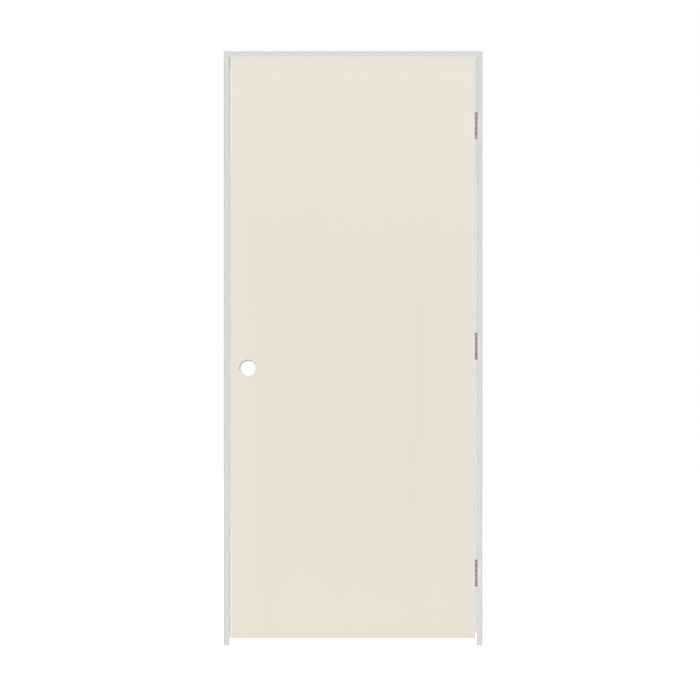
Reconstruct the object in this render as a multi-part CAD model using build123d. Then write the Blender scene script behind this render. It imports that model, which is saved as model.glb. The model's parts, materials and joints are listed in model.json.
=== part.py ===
from build123d import *
import math
import os

# A prehung flush interior door: a hollow-core slab hung on three butt hinges
# in a three-sided wooden jamb with stops, bored for a knob and a latch.
# Sizes are in millimetres. The origin lies on the outer face of the hinge jamb,
# at the middle of the jamb's depth and at floor level. +X points out of that face,
# from the latch side to the hinge side. +Y runs from the pull side, where the
# hinge knuckles show, to the push side. +Z is up.

# Slab: two hardboard skins on a softwood frame
SLAB_WIDTH = 857.25
SLAB_HEIGHT = 2032.0
SLAB_THICKNESS = 34.925
SLAB_EDGE_RADIUS = 1.0
LATCH_BEVEL_DEG = 3.0
SKIN_THICKNESS = 3.2
STILE_WIDTH = 28.6
RAIL_HEIGHT = 28.6
LOCK_BLOCK_WIDTH = 101.6
LOCK_BLOCK_HEIGHT = 508.0

# Gaps round the closed slab; the hinge gap follows from the pins
LATCH_GAP = 5.5
HEAD_GAP = 5.0
STOP_GAP = 5.0
UNDERCUT = 25.4

# Jamb boards and the stops nailed to them
JAMB_THICKNESS = 19.05
JAMB_DEPTH = 115.9
JAMB_EDGE_RADIUS = 1.6
HEAD_RABBET_DEPTH = 9.5
STAPLE_GROOVE_LENGTH = 12.5
STAPLE_GROOVE_WIDTH = 1.9
STAPLE_GROOVE_DEPTH = 1.5
STAPLE_SPACING = 36.0
STOP_THICKNESS = 9.5
STOP_WIDTH = 31.75
STOP_SLAB_EDGE_RADIUS = 1.2
STOP_ROUND_EDGE_RADIUS = 6.0
HINGE_STOP_ABOVE_FLOOR = 46.0
LATCH_STOP_ABOVE_FLOOR = 26.0

# Butt hinges: the lower two are set out from the slab's bottom edge, the upper one from its top edge
BOTTOM_HINGE_RISE = 227.6
MIDDLE_HINGE_RISE = 1022.1
TOP_HINGE_DROP = 236.4
LEAF_HEIGHT = 88.9
LEAF_THICKNESS = 2.3
LEAF_CORNER_RADIUS = 15.875
LEAF_BACKSET = 6.35
PIN_STANDOFF = 15.875
PIN_DIAMETER = 5.5
PIN_CLEARANCE = 0.05
PIN_HEAD_DIAMETER = 11.8
PIN_HEAD_RIM = 1.1
PIN_HEAD_DOME = 1.0
PLUG_SPIGOT_LENGTH = 4.0
PLUG_PIN_GAP = 0.6
KNUCKLE_COUNT = 5
KNUCKLE_GAP = 0.3
ROLL_SEAM = 0.25
NOTCH_CLEARANCE = 0.8
POCKET_CLEARANCE = 0.2

# Countersunk screw holes of a leaf: the outer pair and the middle one
SCREW_HOLE_DIAMETER = 5.2
SCREW_HEAD_DIAMETER = 9.0
SCREW_PAIR_SPACING = 62.0
SCREW_PAIR_INSET = 9.5
SCREW_MIDDLE_INSET = 19.5

# Lock preparation: knob bore, latch bore and the pockets for their plates
KNOB_BORE_DIAMETER = 53.975
KNOB_BORE_RISE = 944.2
KNOB_BACKSET = 60.325
LATCH_BORE_DIAMETER = 22.225
FACEPLATE_WIDTH = 25.4
FACEPLATE_HEIGHT = 57.15
FACEPLATE_DEPTH = 3.2
FACEPLATE_CORNER_RADIUS = 6.35
STRIKE_HEIGHT = 69.85
STRIKE_REACH = 17.5
STRIKE_DEPTH = 1.6
STRIKE_CORNER_RADIUS = 6.35
STRIKE_HOLE_DIAMETER = 25.4

# How far a cutting tool runs past the face it cuts
OVERCUT = 10.0

# Places that follow from the sizes above
bore_radius = PIN_DIAMETER / 2 + PIN_CLEARANCE
knuckle_radius = bore_radius + LEAF_THICKNESS
hinge_gap = 2 * bore_radius

pull_y = -JAMB_DEPTH / 2
push_y = pull_y + SLAB_THICKNESS
middle_y = (pull_y + push_y) / 2
stop_y = push_y + STOP_GAP
pin_y = pull_y - PIN_STANDOFF
leaf_inlay = SLAB_THICKNESS - LEAF_BACKSET

hinge_jamb_x = -JAMB_THICKNESS
hinge_edge_x = hinge_jamb_x - hinge_gap
pin_x = hinge_jamb_x - bore_radius
latch_edge_x = hinge_edge_x - SLAB_WIDTH
latch_jamb_x = latch_edge_x - LATCH_GAP
latch_outer_x = latch_jamb_x - JAMB_THICKNESS
doorway_width = hinge_jamb_x - latch_jamb_x
bevel_run = SLAB_THICKNESS * math.tan(math.radians(LATCH_BEVEL_DEG))

slab_bottom_z = UNDERCUT
slab_top_z = slab_bottom_z + SLAB_HEIGHT
head_z = slab_top_z + HEAD_GAP
frame_top_z = head_z + JAMB_THICKNESS
knob_z = slab_bottom_z + KNOB_BORE_RISE
knob_x = latch_edge_x + KNOB_BACKSET

hinge_centres = {
    "top": slab_top_z - TOP_HINGE_DROP,
    "middle": slab_bottom_z + MIDDLE_HINGE_RISE,
    "bottom": slab_bottom_z + BOTTOM_HINGE_RISE,
}


def block(low, high):
    """A box between two corners."""
    size = [b - a for a, b in zip(low, high)]
    return Pos(*low) * Box(*size, align=(Align.MIN, Align.MIN, Align.MIN))


# Jamb


def jamb_board(length):
    """A board along +Z whose outer face is x = 0, with the room-side corners eased."""
    section = Rectangle(JAMB_THICKNESS, JAMB_DEPTH, align=(Align.MAX, Align.CENTER))
    room_side = section.vertices().group_by(Axis.X)[0]
    return extrude(fillet(room_side, JAMB_EDGE_RADIUS), length)


def jamb_leg():
    """A full-height leg whose top is rabbeted to take the end of the head."""
    rabbet = block(
        (hinge_jamb_x - OVERCUT, -JAMB_DEPTH, head_z),
        (hinge_jamb_x + HEAD_RABBET_DEPTH, JAMB_DEPTH, frame_top_z + OVERCUT),
    )
    return jamb_board(frame_top_z) - rabbet - staple_grooves()


def staple_grooves():
    """The sunk grooves, in a leg's outer face, of the staples that hold the head's end."""
    groove = Box(2 * STAPLE_GROOVE_DEPTH, STAPLE_GROOVE_LENGTH, STAPLE_GROOVE_WIDTH)
    middle_z = (head_z + frame_top_z) / 2
    return [Pos(0, step * STAPLE_SPACING, middle_z) * groove for step in (-1, 0, 1)]


def make_hinge_jamb():
    leg = jamb_leg()
    for z in hinge_centres.values():
        leg -= leaf_pocket(hinge_jamb_x, 1, z)
    return leg


def make_latch_jamb():
    leg = Pos(latch_outer_x, 0, 0) * Rot(0, 0, 180) * jamb_leg()
    return leg - strike_pocket() - strike_hole()


def make_head_jamb():
    length = doorway_width + 2 * HEAD_RABBET_DEPTH
    start_x = hinge_jamb_x + HEAD_RABBET_DEPTH
    return Pos(start_x, 0, frame_top_z) * Rot(0, -90, 0) * jamb_board(length)


# Stops


def stop_strip(length):
    """A stop along +Z with its nailed face on x = 0 and its slab edge on y = 0."""
    section = Rectangle(STOP_THICKNESS, STOP_WIDTH, align=(Align.MAX, Align.MIN))
    slab_edge, round_edge = section.vertices().group_by(Axis.X)[0].sort_by(Axis.Y)
    section = fillet(slab_edge, STOP_SLAB_EDGE_RADIUS)
    round_edge = section.vertices().sort_by_distance((-STOP_THICKNESS, STOP_WIDTH))[0]
    return extrude(fillet(round_edge, STOP_ROUND_EDGE_RADIUS), length)


def mitre_wedge(corner_x, inward):
    """The 45 degree wedge above a leg stop's mitre, in the corner under the head."""
    corner = (corner_x, head_z)
    level = (corner_x + inward * STOP_THICKNESS, head_z)
    below = (corner_x + inward * STOP_THICKNESS, head_z - STOP_THICKNESS)
    triangle = Plane.XZ * Polygon(corner, level, below, align=None)
    return Pos(0, stop_y + STOP_WIDTH / 2, 0) * extrude(triangle, STOP_WIDTH, both=True)


def make_hinge_stop():
    strip = stop_strip(head_z - HINGE_STOP_ABOVE_FLOOR)
    return Pos(hinge_jamb_x, stop_y, HINGE_STOP_ABOVE_FLOOR) * strip - mitre_wedge(hinge_jamb_x, -1)


def make_latch_stop():
    strip = mirror(stop_strip(head_z - LATCH_STOP_ABOVE_FLOOR), about=Plane.YZ)
    return Pos(latch_jamb_x, stop_y, LATCH_STOP_ABOVE_FLOOR) * strip - mitre_wedge(latch_jamb_x, 1)


def make_head_stop():
    strip = Pos(hinge_jamb_x, stop_y, head_z) * Rot(0, -90, 0) * stop_strip(doorway_width)
    low = (latch_jamb_x, stop_y, head_z - STOP_THICKNESS)
    latch_end = block(low, (latch_jamb_x + STOP_THICKNESS, stop_y + STOP_WIDTH, head_z))
    hinge_end = Pos(doorway_width - STOP_THICKNESS, 0, 0) * latch_end
    strip -= latch_end - mitre_wedge(latch_jamb_x, 1)
    return strip - (hinge_end - mitre_wedge(hinge_jamb_x, -1))


# Slab


def slab_section():
    """The slab seen from above: the latch edge is bevelled and the corners are eased."""
    outline = Polygon(
        (hinge_edge_x, pull_y),
        (hinge_edge_x, push_y),
        (latch_edge_x + bevel_run, push_y),
        (latch_edge_x, pull_y),
        align=None,
    )
    return fillet(outline.vertices(), SLAB_EDGE_RADIUS)


def slab_slice(low, high, bottom_z, top_z):
    """The part of the slab between two corners of its section, from one height to another."""
    size = [b - a for a, b in zip(low, high)]
    window = Pos(*low) * Rectangle(*size, align=(Align.MIN, Align.MIN))
    return Pos(0, 0, bottom_z) * extrude(slab_section() & window, top_z - bottom_z)


frame_low_y = pull_y + SKIN_THICKNESS
frame_high_y = push_y - SKIN_THICKNESS
latch_stile_x = latch_edge_x + bevel_run + STILE_WIDTH
hinge_stile_x = hinge_edge_x - STILE_WIDTH


def make_skin(low_y, high_y):
    low = (latch_edge_x - OVERCUT, low_y)
    high = (hinge_edge_x + OVERCUT, high_y)
    return lock_prepared(hinge_prepared(slab_slice(low, high, slab_bottom_z, slab_top_z)))


def make_pull_skin():
    return make_skin(pull_y, frame_low_y)


def make_push_skin():
    return make_skin(frame_high_y, push_y)


def make_hinge_stile():
    low = (hinge_stile_x, frame_low_y)
    high = (hinge_edge_x + OVERCUT, frame_high_y)
    return hinge_prepared(slab_slice(low, high, slab_bottom_z, slab_top_z))


def make_latch_stile():
    low = (latch_edge_x - OVERCUT, frame_low_y)
    high = (latch_stile_x, frame_high_y)
    return lock_prepared(slab_slice(low, high, slab_bottom_z, slab_top_z))


def make_rail(bottom_z):
    low = (latch_stile_x, frame_low_y)
    high = (hinge_stile_x, frame_high_y)
    return slab_slice(low, high, bottom_z, bottom_z + RAIL_HEIGHT)


def make_lock_block():
    low = (latch_stile_x, frame_low_y)
    high = (latch_stile_x + LOCK_BLOCK_WIDTH, frame_high_y)
    bottom_z = knob_z - LOCK_BLOCK_HEIGHT / 2
    return lock_prepared(slab_slice(low, high, bottom_z, bottom_z + LOCK_BLOCK_HEIGHT))


# Lock preparation


def latch_edge_plane():
    """On the bevelled latch edge at knob height, with X up, Y across and Z into the slab."""
    edge = Vector(bevel_run, SLAB_THICKNESS, 0).normalized()
    place = (latch_edge_x + bevel_run / 2, middle_y, knob_z)
    return Plane(origin=place, x_dir=(0, 0, 1), z_dir=Vector(0, 0, 1).cross(edge) * -1)


def rounded_pocket(plane, height, width, radius, depth):
    """A pocket with rounded corners, sunk along the plane's Z."""
    outline = plane * RectangleRounded(height, width, radius)
    return extrude(outline, depth) + extrude(outline, -OVERCUT)


def knob_bore():
    shaft = Cylinder(KNOB_BORE_DIAMETER / 2, SLAB_THICKNESS + 2 * OVERCUT)
    return Pos(knob_x, middle_y, knob_z) * Rot(90, 0, 0) * shaft


def latch_bore():
    """Runs from outside the latch edge to the middle of the knob bore."""
    length = KNOB_BACKSET + OVERCUT
    shaft = Cylinder(LATCH_BORE_DIAMETER / 2, length, align=(Align.CENTER, Align.CENTER, Align.MAX))
    return Pos(knob_x, middle_y, knob_z) * Rot(0, 90, 0) * shaft


def lock_prepared(piece):
    faceplate = rounded_pocket(
        latch_edge_plane(),
        FACEPLATE_HEIGHT,
        FACEPLATE_WIDTH,
        FACEPLATE_CORNER_RADIUS,
        FACEPLATE_DEPTH,
    )
    return piece - knob_bore() - latch_bore() - faceplate


def strike_pocket():
    """The strike's seat: open at the pull edge of the jamb, rounded at its deep corners."""
    length = middle_y + STRIKE_REACH - pull_y
    inner_face = Plane(origin=(latch_jamb_x, pull_y, knob_z), x_dir=(0, 1, 0), z_dir=(-1, 0, 0))
    outline = Rectangle(length, STRIKE_HEIGHT, align=(Align.MIN, Align.CENTER))
    deep_corners = outline.vertices().group_by(Axis.X)[-1]
    outline = fillet(deep_corners, STRIKE_CORNER_RADIUS)
    outline += Rectangle(OVERCUT, STRIKE_HEIGHT, align=(Align.MAX, Align.CENTER))
    outline = inner_face * outline
    return extrude(outline, STRIKE_DEPTH) + extrude(outline, -OVERCUT)


def strike_hole():
    shaft = Cylinder(STRIKE_HOLE_DIAMETER / 2, JAMB_THICKNESS + 2 * OVERCUT)
    return Pos(latch_jamb_x - JAMB_THICKNESS / 2, middle_y, knob_z) * Rot(0, 90, 0) * shaft


# Hinges: a leaf is drawn about its pin axis, with +Y running into the wood


def leaf_outline(start_y, end_y, grow):
    """A leaf's outline in the YZ plane, rounded at the corners away from the pin."""
    height = LEAF_HEIGHT + 2 * grow
    outline = Rectangle(end_y + grow - start_y, height, align=(Align.MIN, Align.CENTER))
    far_corners = outline.vertices().group_by(Axis.X)[-1]
    outline = fillet(far_corners, LEAF_CORNER_RADIUS + grow)
    return Plane.YZ * Pos(start_y, 0) * outline


def leaf_pocket(face_x, side, z):
    """The seat cut for a leaf in the face at face_x; side is +1 where the wood is towards +X."""
    outline = leaf_outline(PIN_STANDOFF - OVERCUT, PIN_STANDOFF + leaf_inlay, POCKET_CLEARANCE)
    cut = extrude(outline, side * LEAF_THICKNESS) + extrude(outline, -side * bore_radius)
    return Pos(face_x, pin_y, z) * cut


def hinge_prepared(piece):
    for z in hinge_centres.values():
        piece -= leaf_pocket(hinge_edge_x, -1, z)
    return piece


def knuckle_section(reach):
    """The leaf's strip rolled into an eye round the pin, from its tail at y = reach to its square end.

    The end's outer corner stops a hairline short of the strip's own flat face.
    """
    end_angle = math.acos((bore_radius - ROLL_SEAM) / knuckle_radius)
    end_way = (math.cos(end_angle), math.sin(end_angle))
    outer_corner = tuple(knuckle_radius * part for part in end_way)
    inner_corner = tuple(bore_radius * part for part in end_way)
    roll = 360 - math.degrees(end_angle)
    return make_face(
        [
            Polyline((bore_radius, 0), (bore_radius, reach), (knuckle_radius, reach), (knuckle_radius, 0)),
            CenterArc((0, 0), knuckle_radius, 0, -roll),
            Line(outer_corner, inner_corner),
            CenterArc((0, 0), bore_radius, -roll, roll),
        ]
    )


def screw_holes():
    """The three countersunk holes of a leaf, widest on the face that shows."""
    cone = Cone(
        SCREW_HEAD_DIAMETER / 2,
        SCREW_HOLE_DIAMETER / 2,
        LEAF_THICKNESS,
        align=(Align.CENTER, Align.CENTER, Align.MIN),
    )
    places = [
        (SCREW_PAIR_INSET, SCREW_PAIR_SPACING / 2),
        (SCREW_PAIR_INSET, -SCREW_PAIR_SPACING / 2),
        (SCREW_MIDDLE_INSET, 0),
    ]
    return [Pos(bore_radius, PIN_STANDOFF + inset, z) * Rot(0, 90, 0) * cone for inset, z in places]


def leaf(first_knuckle):
    """A leaf on the +X side of its pin with every second knuckle, counted from the bottom."""
    notch_y = knuckle_radius + NOTCH_CLEARANCE
    plate = extrude(leaf_outline(notch_y, PIN_STANDOFF + leaf_inlay, 0), LEAF_THICKNESS)
    shape = Pos(bore_radius, 0, 0) * plate
    pitch = LEAF_HEIGHT / KNUCKLE_COUNT
    eye = extrude(knuckle_section(notch_y + LEAF_THICKNESS), pitch - KNUCKLE_GAP)
    for index in range(first_knuckle, KNUCKLE_COUNT, 2):
        bottom_z = index * pitch - LEAF_HEIGHT / 2 + KNUCKLE_GAP / 2
        shape += Pos(0, 0, bottom_z) * eye
    for hole in screw_holes():
        shape -= hole
    return shape


def make_jamb_leaf(z):
    return Pos(pin_x, pin_y, z) * leaf(0)


def make_door_leaf(z):
    return Pos(pin_x, pin_y, z) * mirror(leaf(1), about=Plane.YZ)


def button(shaft_length):
    """A round shaft below z = 0 under a domed button head."""
    head_radius = PIN_HEAD_DIAMETER / 2
    shaft_radius = PIN_DIAMETER / 2
    top = PIN_HEAD_RIM + PIN_HEAD_DOME
    dome_radius = (head_radius**2 + PIN_HEAD_DOME**2) / (2 * PIN_HEAD_DOME)
    half_section = make_face(
        [
            Polyline(
                (0, top),
                (0, -shaft_length),
                (shaft_radius, -shaft_length),
                (shaft_radius, 0),
                (head_radius, 0),
                (head_radius, PIN_HEAD_RIM),
            ),
            RadiusArc((head_radius, PIN_HEAD_RIM), (0, top), -dome_radius),
        ]
    )
    return revolve(Plane.XZ * half_section, Axis.Z)


def make_hinge_pin(z):
    """A loose pin from the top knuckle down, and the plug that closes the bottom knuckle."""
    knuckle_end = LEAF_HEIGHT / 2 - KNUCKLE_GAP / 2
    pin = Pos(0, 0, knuckle_end) * button(2 * knuckle_end - PLUG_SPIGOT_LENGTH - PLUG_PIN_GAP)
    plug = Pos(0, 0, -knuckle_end) * Rot(180, 0, 0) * button(PLUG_SPIGOT_LENGTH)
    return Pos(pin_x, pin_y, z) * Compound(children=[pin, plug])


pieces = {
    "hinge_jamb": make_hinge_jamb(),
    "latch_jamb": make_latch_jamb(),
    "head_jamb": make_head_jamb(),
    "hinge_stop": make_hinge_stop(),
    "latch_stop": make_latch_stop(),
    "head_stop": make_head_stop(),
    "pull_skin": make_pull_skin(),
    "push_skin": make_push_skin(),
    "hinge_stile": make_hinge_stile(),
    "latch_stile": make_latch_stile(),
    "top_rail": make_rail(slab_top_z - RAIL_HEIGHT),
    "bottom_rail": make_rail(slab_bottom_z),
    "lock_block": make_lock_block(),
}
for name, z in hinge_centres.items():
    pieces[name + "_hinge_jamb_leaf"] = make_jamb_leaf(z)
    pieces[name + "_hinge_door_leaf"] = make_door_leaf(z)
    pieces[name + "_hinge_pin"] = make_hinge_pin(z)

os.makedirs("parts", exist_ok=True)
for name, piece in pieces.items():
    export_step(piece, f"parts/{name}.step")
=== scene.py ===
import json
import math
import random

import bmesh
import bpy
from mathutils import Color, Matrix, Vector


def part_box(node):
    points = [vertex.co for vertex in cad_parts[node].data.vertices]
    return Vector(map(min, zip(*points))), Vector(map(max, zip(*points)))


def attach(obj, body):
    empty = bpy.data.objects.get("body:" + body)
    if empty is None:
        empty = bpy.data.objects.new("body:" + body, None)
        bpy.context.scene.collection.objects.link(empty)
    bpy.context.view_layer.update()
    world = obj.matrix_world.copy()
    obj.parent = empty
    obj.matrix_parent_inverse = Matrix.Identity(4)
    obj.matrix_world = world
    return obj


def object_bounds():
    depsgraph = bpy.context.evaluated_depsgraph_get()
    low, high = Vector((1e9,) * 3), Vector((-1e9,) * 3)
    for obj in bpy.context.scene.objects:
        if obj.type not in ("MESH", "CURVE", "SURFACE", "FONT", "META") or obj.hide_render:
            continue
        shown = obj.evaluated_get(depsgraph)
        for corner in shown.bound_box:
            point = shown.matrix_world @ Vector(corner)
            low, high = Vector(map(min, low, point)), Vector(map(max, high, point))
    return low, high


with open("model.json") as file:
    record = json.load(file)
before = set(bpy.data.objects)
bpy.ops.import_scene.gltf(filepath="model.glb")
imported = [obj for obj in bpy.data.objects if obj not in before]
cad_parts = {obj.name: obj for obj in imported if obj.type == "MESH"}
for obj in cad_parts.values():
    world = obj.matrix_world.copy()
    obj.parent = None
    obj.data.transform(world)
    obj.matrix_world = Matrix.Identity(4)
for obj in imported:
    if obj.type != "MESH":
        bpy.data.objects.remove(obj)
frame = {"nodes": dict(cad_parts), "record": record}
cadLow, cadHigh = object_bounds()
nodes = frame["nodes"]
mounts = {mount["name"]: mount for mount in frame["record"]["mounts"]}

mm = 0.001
quarterTurn = math.radians(90)
screenWhite = 255
noiseMiddle = 0.5
hair = 0.05 * mm  # how near a face counts as on it
tiny = 0.001 * mm  # how near two points count as one
mortiseFit = 0.25 * mm  # room round a leaf in its mortise
hingeNames = ("top", "middle", "bottom")

# where the slab, the jamb and the hinges lie, read off the frame
skinLow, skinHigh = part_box("pull_skin")
slabPullY = skinLow.y
slabBottomZ, slabTopZ = skinLow.z, skinHigh.z
latchEdgeX, hingeEdgeX = skinLow.x, skinHigh.x
slabMiddleZ = (slabBottomZ + slabTopZ) / 2
slabMiddleY = (skinLow.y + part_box("push_skin")[1].y) / 2
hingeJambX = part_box("hinge_jamb")[0].x
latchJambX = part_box("latch_jamb")[1].x
headLow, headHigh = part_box("head_jamb")
hingeStopLow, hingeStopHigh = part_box("hinge_stop")
latchStopLow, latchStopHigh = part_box("latch_stop")
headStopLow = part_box("head_stop")[0]
leafBoxes = {name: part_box(name + "_hinge_jamb_leaf") for name in hingeNames}
leafBackX = leafBoxes["top"][1].x
leafDepth = leafBackX - hingeJambX
leafHalfHeight = (leafBoxes["top"][1].z - leafBoxes["top"][0].z) / 2
hingeZ = {name: (low.z + high.z) / 2 for name, (low, high) in leafBoxes.items()}
pinLow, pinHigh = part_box("top_hinge_pin")
pinX, pinY = (pinLow.x + pinHigh.x) / 2, (pinLow.y + pinHigh.y) / 2
barrelRadius = pinY - leafBoxes["top"][0].y
knobBore = Vector(mounts["knob_bore"]["pos_m"])
knobRadius = mounts["knob_bore"]["dims"]["r_mm"] * mm
strikeHole = Vector(mounts["strike_hole"]["pos_m"])
strikeRadius = mounts["strike_hole"]["dims"]["r_mm"] * mm


# shader maths: a node's output that takes part in ordinary sums
class Wire:
    def __init__(self, tree, socket=None):
        self.tree = tree
        self.socket = socket

    def node(self, kind, settings=None, inputs=None, output=0):
        made = self.tree.nodes.new("ShaderNode" + kind)
        for key, value in (settings or {}).items():
            setattr(made, key, value)
        for key, value in (inputs or {}).items():
            if isinstance(value, Wire):
                self.tree.links.new(value.socket, made.inputs[key])
            else:
                made.inputs[key].default_value = value
        return Wire(self.tree, made.outputs[output] if made.outputs else None)

    def maths(self, operation, first, second=0.0, third=0.0):
        return self.node("Math", {"operation": operation}, {0: first, 1: second, 2: third})

    def __add__(self, other):
        return self.maths("ADD", self, other)

    def __radd__(self, other):
        return self.maths("ADD", other, self)

    def __sub__(self, other):
        return self.maths("SUBTRACT", self, other)

    def __rsub__(self, other):
        return self.maths("SUBTRACT", other, self)

    def __mul__(self, other):
        return self.maths("MULTIPLY", self, other)

    def __rmul__(self, other):
        return self.maths("MULTIPLY", other, self)

    def __truediv__(self, other):
        return self.maths("DIVIDE", self, other)

    def __pow__(self, other):
        return self.maths("POWER", self, other)

    def __lt__(self, other):
        return self.maths("LESS_THAN", self, other)

    def __gt__(self, other):
        return self.maths("GREATER_THAN", self, other)

    def __and__(self, other):
        return self.maths("MINIMUM", self, other)

    def __or__(self, other):
        return self.maths("MAXIMUM", self, other)

    def __abs__(self):
        return self.maths("ABSOLUTE", self)

    def ramp(self, start, end):  # 0 at start, 1 at end, smooth between
        inputs = {"Value": self, "From Min": start, "From Max": end}
        return self.node("MapRange", {"interpolation_type": "SMOOTHSTEP"}, inputs)

    def near(self, place, reach):  # 1 within reach of place
        return abs(self - place) < reach


def rgb(red, green, blue):  # a colour as it looks on screen, made linear
    shown = Color((red / screenWhite, green / screenWhite, blue / screenWhite))
    return (*shown.from_srgb_to_scene_linear(), 1.0)


class Finish:  # one material: its node tree, the place on the piece and the shader
    def __init__(self, name):
        self.material = bpy.data.materials.new(name)
        self.material.use_nodes = True
        self.material.node_tree.nodes.clear()
        self.wire = Wire(self.material.node_tree)
        self.place = self.wire.node("TexCoord", output="Object")
        axes = (self.wire.node("SeparateXYZ", None, {0: self.place}, axis) for axis in "XYZ")
        self.x, self.y, self.z = axes

    # blotches of one size, drawn out along an axis
    def noise(self, size, along=None, stretch=1.0, detail=3.0, shift=0.0):
        squeeze = [1 / stretch if axis == along else 1.0 for axis in "xyz"]
        placing = {"Vector": self.place, "Location": (shift,) * 3, "Scale": squeeze}
        mapped = self.wire.node("Mapping", None, placing)
        inputs = {"Vector": mapped, "Scale": 1 / size, "Detail": detail}
        return self.wire.node("TexNoise", None, inputs, "Fac")

    def wobble(self, size, along=None, stretch=1.0, detail=3.0):  # the same about zero
        return self.noise(size, along, stretch, detail) - noiseMiddle

    # growth rings about a pith line that runs along the board, 1 on the dark late wood
    def rings(self, along, wood):
        wander = self.wobble(wood["wanderSize"], along, wood["wanderStretch"]) * wood["wander"]
        across = [getattr(self, axis) for axis in "xyz" if axis != along]
        first = across[0] - wood["pith"][0] + wander
        second = across[1] - wood["pith"][1] + wander
        radius = (first * first + second * second) ** 0.5
        return self.wire.maths("FRACT", radius / wood["ringWidth"]) ** wood["ringEdge"]

    def blend(self, share, first, second):
        return self.wire.node("Mix", {"data_type": "RGBA"}, {0: share, 6: first, 7: second}, 2)

    def bump(self, height, distance, strength, under=None):
        inputs = {"Height": height, "Distance": distance, "Strength": strength}
        if under:
            inputs["Normal"] = under
        return self.wire.node("Bump", None, inputs)

    def shade(self, **sockets):
        inputs = {name.replace("_", " "): value for name, value in sockets.items()}
        shader = self.wire.node("BsdfPrincipled", None, inputs)
        self.wire.node("OutputMaterial", None, {"Surface": shader})
        return self.material


def dress(piece, material):
    piece.data.materials.clear()
    piece.data.materials.append(material)


# primed hardboard of the two skins, raw where it is sawn or bored
primer = {
    "body": rgb(231, 224, 211),
    "deep": rgb(227, 220, 206),
    "pale": rgb(236, 229, 216),
    # painted shade along the top, bottom and hinge edge
    "edgeShade": rgb(227, 224, 216),
    # painted highlight down the latch edge of the pull face
    "latchHighlight": rgb(248, 244, 235),
    "blush": rgb(233, 221, 210),
    # painted shade: the grey crescent beside the bore, deepest at its upper latch side
    "boreShadeColour": rgb(176, 168, 157),
    "rawBoard": rgb(118, 86, 60),
    "rawFibre": rgb(156, 120, 88),
    "driftSize": 110 * mm,
    "driftStretch": 18.0,
    "driftDetail": 4.0,
    "driftRamp": (0.4, 0.7),
    "driftShare": 0.2,
    "cloudSize": 420 * mm,
    "cloudShift": 3.0,
    "cloudRamp": (0.5, 0.75),
    "cloudShare": 0.3,
    # painted light: paler towards the top, as if lit from above
    "paintedTopLight": (1.1, 2.05),
    "latchFade": (-0.70, -0.86),
    "latchFadeShare": 0.5,
    "fadeShare": 0.8,
    "faceDepth": 1 * mm,  # what counts as the pull face
    "edgeShadeWidth": 11 * mm,
    "edgeShadeShare": 0.8,
    "latchHighlightWidth": 3.2 * mm,
    "latchHighlightFull": 0.7,  # of its width
    "latchHighlightSpan": (0.25, 0.95),  # from the middle of the slab, up and down
    "latchHighlightLeast": 0.15,
    "streaks": (  # roller marks on the pull face: x, half width, lowest, highest, colour
        (-0.2215, 24 * mm, 0.62, 1.32, rgb(229, 222, 207)),
        (-0.2380, 20 * mm, 0.26, 0.80, rgb(231, 221, 209)),
    ),
    "streakEnd": 0.2,
    "streakShare": 0.85,
    "streakWander": 30 * mm,
    "blushMiddle": (-0.292, 0.63),
    "blushRagged": 1.6,
    "blushGrain": 60 * mm,
    "blushReach": (0.075, 0.30),
    "blushRamp": (0.2, 1.0),
    "blushShare": 0.5,
    "rimWidth": 0.3 * mm,
    "rimSoft": 0.2 * mm,
    "boreShadeWidth": 3.8 * mm,
    "boreShadeSoft": 1.1 * mm,
    "boreShadeWay": (-0.62, 0.78),  # deepest at the upper latch side
    "boreShadeRamp": (-0.1, 0.8),
    "chipGrain": 3.5 * mm,
    "chipDetail": 4.0,
    "fibreSize": 1.6 * mm,
    "fibreDetail": 5.0,
    "reliefDetail": 2.0,
    "stippleSize": 1.1 * mm,
    "stippleDepth": 0.03 * mm,
    "stippleStrength": 0.5,
    "rollSize": 9 * mm,
    "rollStretch": 3.0,
    "rollDepth": 0.05 * mm,
    "rollStrength": 0.3,
    "rough": 0.6,
    "roughDrift": 0.1,
    "roughRaw": 0.2,
}


def atHinges(look):  # 1 level with the three hinge mortises
    top, middle, bottom = (look.z.near(hingeZ[name], leafHalfHeight + mortiseFit) for name in hingeNames)
    return top | middle | bottom


def sawnSkin(look):  # the cut top and bottom, and the mortises in the pull skin
    ends = (look.z > slabTopZ - hair) | (look.z < slabBottomZ + hair)
    sunk = (look.x > hingeEdgeX - leafDepth - hair) & (look.y < slabMiddleY)
    return ends | (atHinges(look) & sunk)


def boreRim(look):  # the raw rim of the bore, and a painted shade beside it: a grey crescent that stands for the shadowed wall inside the bore
    dx = look.x - knobBore.x
    dz = look.z - knobBore.z
    fromBore = (dx * dx + dz * dz) ** 0.5
    towards = (dx * primer["boreShadeWay"][0] + dz * primer["boreShadeWay"][1]) / fromBore
    chips = look.wobble(primer["chipGrain"], detail=primer["chipDetail"]) + 1
    fromRim = fromBore - knobRadius
    rimEdge = fromRim - chips * primer["rimWidth"]
    rim = 1 - rimEdge.ramp(-primer["rimSoft"], primer["rimSoft"])
    boreShadeEdge = fromRim - chips * towards.ramp(*primer["boreShadeRamp"]) * primer["boreShadeWidth"]
    boreShade = 1 - boreShadeEdge.ramp(-primer["boreShadeSoft"], primer["boreShadeSoft"])
    return rim, boreShade


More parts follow.
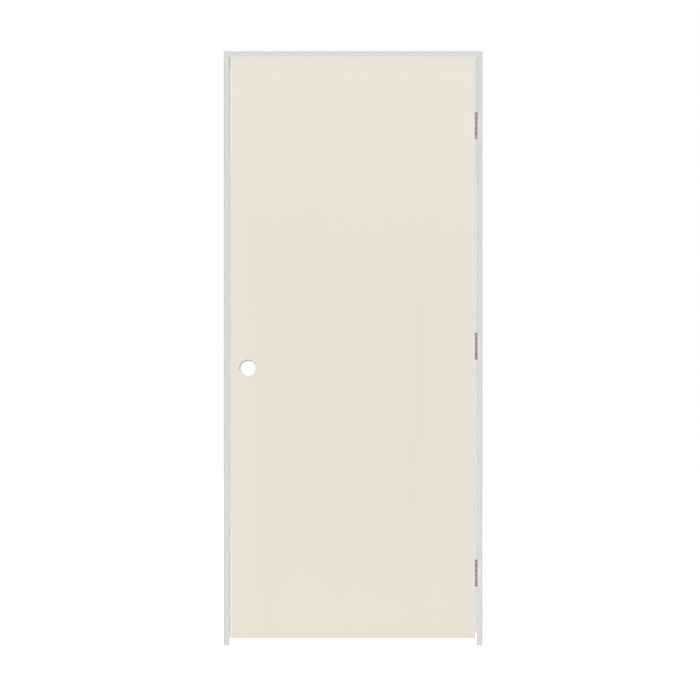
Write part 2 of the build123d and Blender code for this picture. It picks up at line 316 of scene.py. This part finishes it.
def makeSlabPrimer():
    look = Finish("slabPrimer")
    drift = look.noise(primer["driftSize"], "z", primer["driftStretch"], primer["driftDetail"])
    clouds = look.noise(primer["cloudSize"], shift=primer["cloudShift"]).ramp(*primer["cloudRamp"])
    deeper = drift.ramp(*primer["driftRamp"]) * primer["driftShare"]
    colour = look.blend(deeper, primer["body"], primer["deep"])
    # painted light: the face is paler towards the top, as if lit from above, and paler towards the latch
    # edge; the clouds are random tone
    light = look.z.ramp(*primer["paintedTopLight"]) | look.x.ramp(*primer["latchFade"]) * primer["latchFadeShare"]
    paler = (light * primer["fadeShare"]) | (clouds * primer["cloudShare"])
    colour = look.blend(paler, colour, primer["pale"])

    # marks that only the pull face has: a blush and the faint roller streaks beside it
    pullFace = look.y < slabPullY + primer["faceDepth"]
    sideways = (look.x - primer["blushMiddle"][0]) / primer["blushReach"][0]
    upright = (look.z - primer["blushMiddle"][1]) / primer["blushReach"][1]
    ragged = look.wobble(primer["blushGrain"]) * primer["blushRagged"]
    blush = 1 - (sideways * sideways + upright * upright + ragged).ramp(*primer["blushRamp"])
    colour = look.blend(blush * pullFace * primer["blushShare"], colour, primer["blush"])
    for x, half, low, high, tone in primer["streaks"]:
        soft = primer["streakEnd"]
        span = look.z.ramp(low, low + soft) & (1 - look.z.ramp(high - soft, high))
        line = 1 - abs(look.x - x + (drift - noiseMiddle) * primer["streakWander"]).ramp(0.0, half)
        colour = look.blend(line * span * pullFace * primer["streakShare"], colour, tone)

    # painted shade: the coat is greyer along the top, bottom and hinge edge; painted highlight: a pale
    # line down the latch edge
    fromEdge = (look.z - slabBottomZ) & (slabTopZ - look.z) & (hingeEdgeX - look.x)
    edgeShade = (1 - fromEdge.ramp(0.0, primer["edgeShadeWidth"])) * primer["edgeShadeShare"]
    colour = look.blend(edgeShade, colour, primer["edgeShade"])
    # painted highlight down the latch edge of the pull face, strongest away from the middle
    highlightLeast = primer["latchHighlightLeast"]
    highlightStrength = abs(look.z - slabMiddleZ).ramp(*primer["latchHighlightSpan"]) * (1 - highlightLeast) + highlightLeast
    highlightWidth = primer["latchHighlightWidth"]
    edge = 1 - (look.x - latchEdgeX).ramp(highlightWidth * primer["latchHighlightFull"], highlightWidth)
    colour = look.blend(edge * highlightStrength * pullFace, colour, primer["latchHighlight"])

    rim, boreShade = boreRim(look)
    # painted shade round the upper latch side of the bore
    colour = look.blend(boreShade * pullFace, colour, primer["boreShadeColour"])
    raw = sawnSkin(look) | rim
    fibres = look.noise(primer["fibreSize"], detail=primer["fibreDetail"])
    board = look.blend(fibres, primer["rawBoard"], primer["rawFibre"])
    colour = look.blend(raw, colour, board)
    roll = look.noise(primer["rollSize"], "z", primer["rollStretch"], primer["reliefDetail"])
    stipple = look.noise(primer["stippleSize"], detail=primer["reliefDetail"])
    relief = look.bump(stipple, primer["stippleDepth"], primer["stippleStrength"])
    relief = look.bump(roll, primer["rollDepth"], primer["rollStrength"], relief)
    rough = primer["rough"] + drift * primer["roughDrift"] + raw * primer["roughRaw"]
    return look.shade(Base_Color=colour, Roughness=rough, Normal=relief)


slabPrimer = makeSlabPrimer()
for name in ("pull_skin", "push_skin"):
    dress(nodes[name], slabPrimer)
print("skins primed")


# softwood of the slab's stiles, rails and lock block, primed on the two long edges only
softwood = {
    "early": rgb(226, 196, 154),
    "late": rgb(183, 138, 92),
    "primer": rgb(233, 227, 214),
    "coatDepth": 0.3 * mm,
    "coatLeast": 0.88,  # how well the fibres are covered
    "latchBevel": math.radians(3.0),
    "pith": (-0.06, 0.03),
    "ringWidth": 3.4 * mm,
    "ringEdge": 2.6,
    "wander": 14 * mm,
    "wanderSize": 70 * mm,
    "wanderStretch": 9.0,
    "fibreSize": 0.7 * mm,
    "fibreStretch": 40.0,
    "ringShare": 0.75,
    "fibreShare": 0.5,
    "relief": 0.06 * mm,
    "ringRelief": 0.5,
    "reliefStrength": 0.4,
    "rough": 0.6,
    "roughFibre": 0.15,
}


def makeSoftwood(name, along, primedFace=None):
    look = Finish(name)
    rings = look.rings(along, softwood)
    fibres = look.noise(softwood["fibreSize"], along, softwood["fibreStretch"])
    tone = rings * softwood["ringShare"] + (fibres - noiseMiddle) * softwood["fibreShare"]
    colour = look.blend(tone.ramp(0.0, 1.0), softwood["early"], softwood["late"])
    rough = softwood["rough"] + fibres * softwood["roughFibre"]
    if primedFace:
        least = softwood["coatLeast"]
        cover = primedFace(look) * (least + fibres * (1 - least))
        colour = look.blend(cover, colour, softwood["primer"])
    ridges = rings * softwood["ringRelief"] + fibres
    relief = look.bump(ridges, softwood["relief"], softwood["reliefStrength"])
    return look.shade(Base_Color=colour, Roughness=rough, Normal=relief)


def hingeEdge(look):
    return look.x > hingeEdgeX - softwood["coatDepth"]


def latchEdge(look):
    slope = math.tan(softwood["latchBevel"])
    return look.x - (look.y - slabPullY) * slope < latchEdgeX + softwood["coatDepth"]


dress(nodes["hinge_stile"], makeSoftwood("hingeStileWood", "z", hingeEdge))
dress(nodes["latch_stile"], makeSoftwood("latchStileWood", "z", latchEdge))
dress(nodes["lock_block"], makeSoftwood("lockBlockWood", "z"))
railWood = makeSoftwood("railWood", "x")
for name in ("top_rail", "bottom_rail"):
    dress(nodes[name], railWood)
print("slab frame in softwood")


# primed finger-jointed pine of the jamb and stops
jamb = {
    "coat": rgb(220, 220, 219),
    "coatShade": rgb(214, 214, 213),
    # the stops' coats are painted light and shade, each set to how bright its gap shows: the head stop
    # lighter than the jamb, the hinge and latch stops darker
    "hingeStopShadedCoat": rgb(218, 217, 215),
    "latchStopShadedCoat": rgb(212, 210, 206),
    "headStopLitCoat": rgb(229, 227, 222),
    "outerEdgeShade": rgb(209, 209, 208),  # painted shade along the outer corners
    "outerEdgeShadeWidth": 6 * mm,
    "outerEdgeShadeFull": 0.5,  # of its width
    "outerEdgeShadeShare": 0.9,
    "headEdgeLight": rgb(243, 241, 237),  # painted light along the head's lower corners, where the rounded edge faces down
    "headEdgeLightWidth": 1.8 * mm,
    "headEdgeLightFull": 0.8,
    "stopTopShade": rgb(190, 188, 183),  # painted shade at the top of the latch stop, under the head
    "stopTopShadeReach": (20 * mm, 50 * mm),  # below the head
    "jointLine": rgb(206, 206, 203),
    "early": rgb(224, 192, 148),
    "late": rgb(186, 142, 95),
    "pith": (0.05, -0.02),
    "ringWidth": 3.0 * mm,
    "ringEdge": 2.6,
    "wander": 10 * mm,
    "wanderSize": 60 * mm,
    "wanderStretch": 10.0,
    "driftSize": 120 * mm,
    "driftStretch": 9.0,
    "driftRamp": (0.4, 0.7),
    "driftShare": 0.6,
    "brushSize": 0.9 * mm,
    "brushStretch": 45.0,
    "ringTint": 0.12,  # how far the rings show through the coat
    "ringShare": 0.75,
    "brushShare": 0.5,
    "relief": 0.05 * mm,
    "ringRelief": 0.3,
    "jointRelief": 0.6,
    "reliefStrength": 0.35,
    "rough": 0.78,
    "roughDrift": 0.1,
    "roughRaw": 0.1,
    "jointSpacing": 0.437,
    "jointShare": 0.6,
    "fingerPitch": 6.4 * mm,
    "fingerSlope": 3.2,
    "jointHalf": 0.16 * mm,
    "shifts": {  # sets each board's joints apart from its neighbour's
        "hingeLeg": 0.11,
        "latchLeg": 0.29,
        "head": 0.05,
        "hingeStop": 0.19,
        "latchStop": 0.37,
        "headStop": 0.23,
    },
}


def fingerJoints(look, along, shift):  # zigzag glue lines on the wide faces, straight on the edges
    run = getattr(look, along) + shift
    spacing = jamb["jointSpacing"]
    fromJoint = look.wire.maths("WRAP", run, spacing / 2, -spacing / 2)
    zigzag = look.wire.maths("PINGPONG", look.y, jamb["fingerPitch"] / 2) * jamb["fingerSlope"]
    return 1 - abs(fromJoint - zigzag).ramp(jamb["jointHalf"], 2 * jamb["jointHalf"])


def makeJambPrimer(board, along, coat, outer=None, cuts=None, litEdges=None, paintedShades=None):
    look = Finish(board + "Primer")
    shift = jamb["shifts"][board]
    rings = look.rings(along, jamb)
    brush = look.noise(jamb["brushSize"], along, jamb["brushStretch"])
    drift = look.noise(jamb["driftSize"], along, jamb["driftStretch"], shift=shift)
    colour = look.blend(drift.ramp(*jamb["driftRamp"]) * jamb["driftShare"], coat, jamb["coatShade"])
    colour = look.blend(rings * jamb["ringTint"], colour, jamb["coatShade"])
    joints = fingerJoints(look, along, shift)
    colour = look.blend(joints * jamb["jointShare"], colour, jamb["jointLine"])
    rough = jamb["rough"] + drift * jamb["roughDrift"]
    # painted shade along the outer corners
    if outer:
        width = jamb["outerEdgeShadeWidth"]
        shadedOuter = 1 - outer(look).ramp(width * jamb["outerEdgeShadeFull"], width)
        colour = look.blend(shadedOuter * jamb["outerEdgeShadeShare"], colour, jamb["outerEdgeShade"])
    # painted light along the head's lower corners
    if litEdges:
        width = jamb["headEdgeLightWidth"]
        paintedEdgeLight = 1 - litEdges(look).ramp(width * jamb["headEdgeLightFull"], width)
        colour = look.blend(paintedEdgeLight, colour, jamb["headEdgeLight"])
    # painted shade
    if paintedShades:
        colour = look.blend(paintedShades(look), colour, jamb["stopTopShade"])
    if cuts:
        raw = cuts(look)
        tone = rings * jamb["ringShare"] + (brush - noiseMiddle) * jamb["brushShare"]
        wood = look.blend(tone.ramp(0.0, 1.0), jamb["early"], jamb["late"])
        colour = look.blend(raw, colour, wood)
        rough = rough + raw * jamb["roughRaw"]
    ridges = rings * jamb["ringRelief"] + brush - joints * jamb["jointRelief"]
    relief = look.bump(ridges, jamb["relief"], jamb["reliefStrength"])
    return look.shade(Base_Color=colour, Roughness=rough, Normal=relief)


# raw wood in the pockets, holes, grooves and sawn ends of the legs
cut = {
    "mortiseReach": 28.8 * mm,
    "strikeDepth": 1.6 * mm,
    "strikeHalf": 34.95 * mm,
    "strikeReach": 35.0 * mm,
    "grooveSpacing": 36 * mm,
    "grooveHalf": 6.27 * mm,
    "grooveHigh": 0.96 * mm,
    "grooveSpan": 45 * mm,
}
grooveZ = (headLow.z + headHigh.z) / 2


def sawnEnds(look):
    return (look.z < hair) | (look.z > headHigh.z - hair)


def stapleGrooves(look):
    along = look.wire.maths("WRAP", look.y, cut["grooveSpacing"] / 2, -cut["grooveSpacing"] / 2)
    inside = (abs(along) < cut["grooveHalf"]) & look.z.near(grooveZ, cut["grooveHigh"])
    return inside & (abs(look.y) < cut["grooveSpan"])


def hingeLegCuts(look):
    sunk = (look.x > hingeJambX + hair) & (look.x < leafBackX + hair)
    pockets = atHinges(look) & sunk & (look.y < slabPullY + cut["mortiseReach"])
    return pockets | sawnEnds(look) | stapleGrooves(look)


def latchLegCuts(look):
    sunk = look.x.near(latchJambX - cut["strikeDepth"], hair)  # the pocket's walls took some primer
    pocket = look.z.near(knobBore.z, cut["strikeHalf"]) & (look.y < slabPullY + cut["strikeReach"])
    dy = look.y - strikeHole.y
    dz = look.z - strikeHole.z
    hole = (dy * dy + dz * dz) ** 0.5 < strikeRadius + hair
    return (pocket & sunk) | hole | sawnEnds(look) | stapleGrooves(look)


def hingeLegOuter(look):
    return cadHigh.x - look.x


def latchLegOuter(look):
    return look.x - cadLow.x


def headOuter(look):
    return cadHigh.z - look.z


def headLower(look):  # above the underside, between the legs
    return (look.z - headLow.z) | (latchJambX - look.x) | (look.x - hingeJambX)


def hingeStopCut(look):
    return look.z < hingeStopLow.z + hair


def latchStopCut(look):
    return look.z < latchStopLow.z + hair


# painted shade, darkest just under the head
def latchStopTopShade(look):
    return 1 - (headLow.z - look.z).ramp(*jamb["stopTopShadeReach"])


jambCoat = jamb["coat"]
boards = {
    "hinge_jamb": makeJambPrimer("hingeLeg", "z", jambCoat, hingeLegOuter, hingeLegCuts),
    "latch_jamb": makeJambPrimer("latchLeg", "z", jambCoat, latchLegOuter, latchLegCuts),
    "head_jamb": makeJambPrimer("head", "x", jambCoat, headOuter, litEdges=headLower),
    "hinge_stop": makeJambPrimer("hingeStop", "z", jamb["hingeStopShadedCoat"], cuts=hingeStopCut),
    "latch_stop": makeJambPrimer(
        "latchStop", "z", jamb["latchStopShadedCoat"], cuts=latchStopCut, paintedShades=latchStopTopShade
    ),
    "head_stop": makeJambPrimer("headStop", "x", jamb["headStopLitCoat"]),
}
for name, material in boards.items():
    dress(nodes[name], material)
print("jamb and stops primed")


# satin nickel of the hinges and their screws
nickel = {
    "colour": rgb(166, 161, 156),
    "dull": rgb(142, 137, 132),
    "grime": rgb(104, 97, 91),
    "knuckles": 5,
    "grimeHalf": (0.3 * mm, 2.2 * mm),
    "grimeShare": 0.6,
    "brushSize": 0.5 * mm,
    "brushStretch": 30.0,
    "brushDepth": 0.012 * mm,
    "brushStrength": 0.6,
    "smudgeSize": 14 * mm,
    "smudgeRamp": (0.4, 0.75),
    "smudgeShare": 0.6,
    "rough": 0.34,
    "roughSmudge": 0.12,
    "roughBrush": 0.08,
}


def knuckleJoints(look):  # 1 at the ends of the knuckles, on the barrels alone
    pitch = 2 * leafHalfHeight / nickel["knuckles"]
    clear, full = nickel["grimeHalf"]
    barrel = look.x.near(pinX, barrelRadius + hair) & look.y.near(pinY, barrelRadius + hair)
    joints = []
    for name in hingeNames:
        rise = look.z - hingeZ[name]
        fromJoint = abs(look.wire.maths("WRAP", rise + pitch / 2, pitch / 2, -pitch / 2))
        onHinge = abs(rise) < leafHalfHeight + full
        joints.append((1 - fromJoint.ramp(clear, full)) & onHinge)
    return (joints[0] | joints[1] | joints[2]) & barrel


def makeNickel(name, along):
    look = Finish(name)
    brushed = look.noise(nickel["brushSize"], along, nickel["brushStretch"])
    smudge = look.noise(nickel["smudgeSize"])
    smudged = smudge.ramp(*nickel["smudgeRamp"]) * nickel["smudgeShare"]
    colour = look.blend(smudged, nickel["colour"], nickel["dull"])
    colour = look.blend(knuckleJoints(look) * nickel["grimeShare"], colour, nickel["grime"])
    grain = (brushed - noiseMiddle) * nickel["roughBrush"]
    rough = nickel["rough"] + smudge * nickel["roughSmudge"] + grain
    relief = look.bump(brushed, nickel["brushDepth"], nickel["brushStrength"])
    return look.shade(Base_Color=colour, Metallic=1.0, Roughness=rough, Normal=relief)


satinNickel = makeNickel("satinNickel", "z")
for name in hingeNames:
    for piece in ("jamb_leaf", "door_leaf", "pin"):
        dress(nodes[name + "_hinge_" + piece], satinNickel)
print("hinges plated")


def copyShape(built, shape, place):  # adds a shape's mesh to a piece, moved into place
    start = len(built.verts)
    built.from_mesh(shape)
    built.verts.ensure_lookup_table()
    bmesh.ops.transform(built, matrix=place, verts=built.verts[start:])


def shapeFrom(built, name):
    bmesh.ops.remove_doubles(built, verts=built.verts, dist=tiny)
    bmesh.ops.recalc_face_normals(built, faces=built.faces)
    shape = bpy.data.meshes.new(name)
    built.to_mesh(shape)
    built.free()
    return shape


def addPiece(built, name, body, material):
    mesh = bpy.data.meshes.new(name)
    built.to_mesh(mesh)
    built.free()
    piece = bpy.data.objects.new(name, mesh)
    bpy.context.scene.collection.objects.link(piece)
    dress(piece, material)
    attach(piece, body)


# countersunk cross-recess screws, three to a leaf
screw = {
    "sides": 40,
    "headSunk": 0.15 * mm,
    "headRadius": 4.32 * mm,
    "neckSunk": 2.25 * mm,
    "neckRadius": 2.59 * mm,
    "rimBevel": 0.14 * mm,
    "rimSegments": 2,
    "flatness": 0.9,  # upward share of a normal on the flat top
    "wingHalf": 0.62 * mm,
    "wingReach": 2.45 * mm,
    "recessDepth": 1.5 * mm,
    "recessTaper": 0.5,
    "pairInset": 9.5 * mm,
    "pairHalf": 31 * mm,
    "middleInset": 19.5 * mm,
    "seed": 5,
}


def inCross(point):
    wide, reach = screw["wingHalf"], screw["wingReach"]
    across, along = sorted((abs(point.x), abs(point.y)))
    return across < wide and along < reach


def topFaces(built):
    built.normal_update()
    upward = [face for face in built.faces if face.normal.z > screw["flatness"]]
    return [face for face in upward if abs(face.calc_center_median().z) < hair]


def makeScrewShape():
    built = bmesh.new()
    depth = screw["neckSunk"] - screw["headSunk"]
    bmesh.ops.create_cone(
        built,
        cap_ends=True,
        segments=screw["sides"],
        radius1=screw["neckRadius"],
        radius2=screw["headRadius"],
        depth=depth,
        matrix=Matrix.Translation((0, 0, -depth / 2)),
    )
    rim = topFaces(built)[0].edges[:]
    bmesh.ops.bevel(
        built,
        geom=rim,
        offset=screw["rimBevel"],
        segments=screw["rimSegments"],
        profile=0.5,
        affect="EDGES",
        material=-1,
    )
    # the cross is cut out of the flat top and sunk, narrower at its foot
    for way in (Vector((1, 0, 0)), Vector((0, 1, 0))):
        for reach in (screw["wingHalf"], screw["wingReach"]):
            for side in (-reach, reach):
                flat = topFaces(built)
                edges = {edge for face in flat for edge in face.edges}
                verts = {vert for face in flat for vert in face.verts}
                geom = flat + list(edges) + list(verts)
                bmesh.ops.bisect_plane(built, geom=geom, dist=tiny, plane_co=way * side, plane_no=way)
    cross = [face for face in topFaces(built) if inCross(face.calc_center_median())]
    sunk = bmesh.ops.extrude_face_region(built, geom=cross)["geom"]
    bmesh.ops.delete(built, geom=cross, context="FACES")
    foot = [part for part in sunk if isinstance(part, bmesh.types.BMVert)]
    taper = screw["recessTaper"]
    bmesh.ops.scale(built, vec=(taper, taper, 1), verts=foot)
    bmesh.ops.translate(built, vec=(0, 0, -screw["recessDepth"]), verts=foot)
    return shapeFrom(built, "screw")


def addScrews(shape):
    turns = random.Random(screw["seed"])
    spots = (
        (screw["pairInset"], screw["pairHalf"]),
        (screw["pairInset"], -screw["pairHalf"]),
        (screw["middleInset"], 0.0),
    )
    leaves = (("jamb", "frame", hingeJambX, -1), ("door", "door", hingeEdgeX, 1))
    for name in hingeNames:
        for leaf, body, faceX, outward in leaves:
            built = bmesh.new()
            facing = Vector((outward, 0, 0)).to_track_quat("Z", "Y").to_matrix().to_4x4()
            for inset, rise in spots:
                spot = (faceX - outward * screw["headSunk"], slabPullY + inset, hingeZ[name] + rise)
                turn = Matrix.Rotation(turns.uniform(0, quarterTurn), 4, "Z")
                copyShape(built, shape, Matrix.Translation(spot) @ facing @ turn)
            addPiece(built, name + "_hinge_" + leaf + "_screws", body, satinNickel)


addScrews(makeScrewShape())
print("hinge screws driven")


# galvanised wire of the staples and brads
wireSteel = {
    "colour": rgb(150, 150, 148),
    "dull": rgb(112, 111, 108),
    "spangle": 2.2 * mm,
    "spangleRamp": (0.35, 0.7),
    "rough": 0.42,
    "roughSpangle": 0.2,
}


def makeWireSteel():
    look = Finish("galvanisedWire")
    spangle = look.noise(wireSteel["spangle"])
    colour = look.blend(spangle.ramp(*wireSteel["spangleRamp"]), wireSteel["colour"], wireSteel["dull"])
    rough = wireSteel["rough"] + spangle * wireSteel["roughSpangle"]
    return look.shade(Base_Color=colour, Metallic=1.0, Roughness=rough)


galvanised = makeWireSteel()

# staples through each leg into the head, sunk in their grooves
staple = {
    "sides": 12,
    "wireRadius": 0.6 * mm,
    "crownHalf": 5.4 * mm,
    "bendSteps": 6,
    "floorSunk": 1.5 * mm,  # depth of the groove under the leg's outer face
    "places": (-1, 0, 1),
}


def makeStapleShape():
    # half a crown along +Y that turns down into the wood, then its mirror
    built = bmesh.new()
    radius = staple["wireRadius"]
    upright = Matrix.Rotation(quarterTurn, 4, "X")
    bmesh.ops.create_circle(built, segments=staple["sides"], radius=radius, matrix=upright)
    grown = bmesh.ops.extrude_edge_only(built, edges=built.edges[:])["geom"]
    ring = [part for part in grown if isinstance(part, bmesh.types.BMVert)]
    bmesh.ops.translate(built, vec=(0, staple["crownHalf"] - radius, 0), verts=ring)
    loop = [part for part in grown if isinstance(part, bmesh.types.BMEdge)]
    bend = (0, staple["crownHalf"] - radius, -radius)
    bmesh.ops.spin(
        built,
        geom=ring + loop,
        cent=bend,
        axis=(-1, 0, 0),
        angle=quarterTurn,
        steps=staple["bendSteps"],
    )
    half = built.verts[:] + built.edges[:] + built.faces[:]
    bmesh.ops.mirror(built, geom=half, axis="Y", merge_dist=hair)
    ends = [edge for edge in built.edges if edge.is_boundary and abs(edge.verts[0].co.y) > radius]
    bmesh.ops.holes_fill(built, edges=ends, sides=staple["sides"])
    for face in built.faces:
        face.smooth = len(face.verts) == 4
    return shapeFrom(built, "staple")


def addStaples(shape):
    sunk = staple["floorSunk"] - staple["wireRadius"]
    for leg, faceX, outward in (("hinge", cadHigh.x, 1), ("latch", cadLow.x, -1)):
        built = bmesh.new()
        facing = Matrix.Rotation(quarterTurn * outward, 4, "Y")
        for step in staple["places"]:
            spot = (faceX - outward * sunk, step * cut["grooveSpacing"], grooveZ)
            copyShape(built, shape, Matrix.Translation(spot) @ facing)
        addPiece(built, leg + "_jamb_staples", "frame", galvanised)


addStaples(makeStapleShape())
print("head stapled")


# brads that hold the stops, driven flush
brad = {
    "length": 2.8 * mm,
    "width": 1.4 * mm,
    "proud": 0.14 * mm,
    "round": 0.4 * mm,
    "roundSegments": 3,
    "dish": 0.05 * mm,
    "legCount": 7,
    "headCount": 4,
    "endMargin": 0.075,
    "fromSlab": 12 * mm,  # from the stop's edge beside the slab
}


def makeBradShape():
    # a thin plate with round corners and a dished top, its foot at z = 0
    built = bmesh.new()
    bmesh.ops.create_grid(built, x_segments=1, y_segments=1, size=0.5)
    bmesh.ops.scale(built, vec=(brad["width"], brad["length"], 1), verts=built.verts)
    bmesh.ops.bevel(
        built,
        geom=built.verts[:],
        offset=brad["round"],
        segments=brad["roundSegments"],
        profile=0.5,
        affect="VERTICES",
        material=-1,
    )
    grown = bmesh.ops.extrude_face_region(built, geom=built.faces[:], use_keep_orig=True)["geom"]
    top = [part for part in grown if isinstance(part, bmesh.types.BMFace)]
    verts = [part for part in grown if isinstance(part, bmesh.types.BMVert)]
    bmesh.ops.translate(built, vec=(0, 0, brad["proud"]), verts=verts)
    bmesh.ops.inset_region(built, faces=top, thickness=brad["round"] / 2, depth=-brad["dish"])
    return shapeFrom(built, "brad")


def spread(start, end, count):  # even steps, clear of both ends
    first, last = start + brad["endMargin"], end - brad["endMargin"]
    return [first + (last - first) * index / (count - 1) for index in range(count)]


def addBrads(shape):
    y = hingeStopLow.y + brad["fromSlab"]
    onHinge = Matrix.Rotation(-quarterTurn, 4, "Y")
    onLatch = Matrix.Rotation(quarterTurn, 4, "Y")
    onHead = Matrix.Rotation(2 * quarterTurn, 4, "X")
    hingeRow = spread(hingeStopLow.z, hingeStopHigh.z, brad["legCount"])
    latchRow = spread(latchStopLow.z, latchStopHigh.z, brad["legCount"])
    headRow = spread(latchJambX, hingeJambX, brad["headCount"])
    rows = {
        "hinge": [Matrix.Translation((hingeStopLow.x, y, z)) @ onHinge for z in hingeRow],
        "latch": [Matrix.Translation((latchStopHigh.x, y, z)) @ onLatch for z in latchRow],
        "head": [Matrix.Translation((x, y, headStopLow.z)) @ onHead for x in headRow],
    }
    for name, places in rows.items():
        built = bmesh.new()
        for place in places:
            copyShape(built, shape, place)
        addPiece(built, name + "_stop_brads", "frame", galvanised)


addBrads(makeBradShape())
print("stops nailed")


# floor, light and camera
studio = {
    "picture": 2.4528,  # metres across the picture at the slab's face
    "middleX": -0.4643,
    "middleZ": 1.0348,
    "eyeZ": 2.06,  # level with the gap under the head
    "distance": 100.0,
    "reach": 300.0,
    "floorSize": 80.0,
    "floorGlow": 1.15,  # with the daylight that the floor sends back, it reads as white
    "floorShare": 0.7,
    "floorPale": (0.9, 0.9, 0.9, 1),
    "floorBounce": (0.2, 0.2, 0.2, 1),
    "ambient": 0.08,
    "suns": (  # name, which way it shines, power, spread in degrees, seen in metal
        ("frontKey", (0, 1, 0), 2.69, 0.4, False),
        ("backKey", (0, -1, -0.1), 2.5, 12, False),
        ("hingeSide", (-1, -0.065, -0.6), 2.8, 6, True),
        ("latchSide", (1, -0.065, -0.6), 2.8, 6, True),
    ),
}


def seenRays(wire):  # what the camera, metal and glass look at
    kinds = ("Is Camera Ray", "Is Glossy Ray", "Is Transmission Ray")
    camera, glossy, transmission = (wire.node("LightPath", None, None, kind) for kind in kinds)
    return camera | glossy | transmission


def makeFloor():
    mesh = bpy.data.meshes.new("floor")
    built = bmesh.new()
    bmesh.ops.create_grid(built, x_segments=1, y_segments=1, size=studio["floorSize"] / 2)
    built.to_mesh(mesh)
    built.free()
    floor = bpy.data.objects.new("floor", mesh)
    bpy.context.scene.collection.objects.link(floor)
    material = bpy.data.materials.new("paleFloor")
    material.use_nodes = True
    material.node_tree.nodes.clear()
    wire = Wire(material.node_tree)
    seen = seenRays(wire)
    colours = {0: seen, 6: studio["floorBounce"], 7: studio["floorPale"]}
    colour = wire.node("Mix", {"data_type": "RGBA"}, colours, 2)
    paint = wire.node("BsdfDiffuse", None, {"Color": colour})
    glow = wire.node("Emission", None, {"Strength": studio["floorGlow"]})
    mixed = wire.node("MixShader", None, {0: seen * studio["floorShare"], 1: paint, 2: glow})
    wire.node("OutputMaterial", None, {"Surface": mixed})
    dress(floor, material)
    floor.visible_shadow = False  # the level key light grazes it


def makeWorld():
    world = bpy.data.worlds.new("studio")
    bpy.context.scene.world = world
    world.use_nodes = True
    world.node_tree.nodes.clear()
    wire = Wire(world.node_tree)
    strength = seenRays(wire) * (1 - studio["ambient"]) + studio["ambient"]
    sky = wire.node("Background", None, {"Color": (1, 1, 1, 1), "Strength": strength})
    wire.node("OutputWorld", None, {"Surface": sky})


def addSun(name, towards, power, spread, gleams):
    lamp = bpy.data.lights.new(name, "SUN")
    lamp.energy = power
    lamp.angle = math.radians(spread)
    sun = bpy.data.objects.new(name, lamp)
    sun.rotation_mode = "QUATERNION"
    sun.rotation_quaternion = Vector(towards).to_track_quat("-Z", "Y")
    sun.visible_glossy = gleams
    bpy.context.scene.collection.objects.link(sun)


def makeCamera():
    data = bpy.data.cameras.new("camera")
    data.lens = data.sensor_width * studio["distance"] / studio["picture"]
    data.clip_end = studio["reach"]
    camera = bpy.data.objects.new("camera", data)
    camera.location = (studio["middleX"], slabPullY - studio["distance"], studio["eyeZ"])
    drop = math.atan2(studio["eyeZ"] - studio["middleZ"], studio["distance"])
    camera.rotation_euler = (quarterTurn - drop, 0, 0)
    bpy.context.scene.collection.objects.link(camera)
    bpy.context.scene.camera = camera


makeFloor()
makeWorld()
for sun in studio["suns"]:
    addSun(*sun)
makeCamera()
bpy.context.scene.view_settings.view_transform = "Standard"
print("studio set")
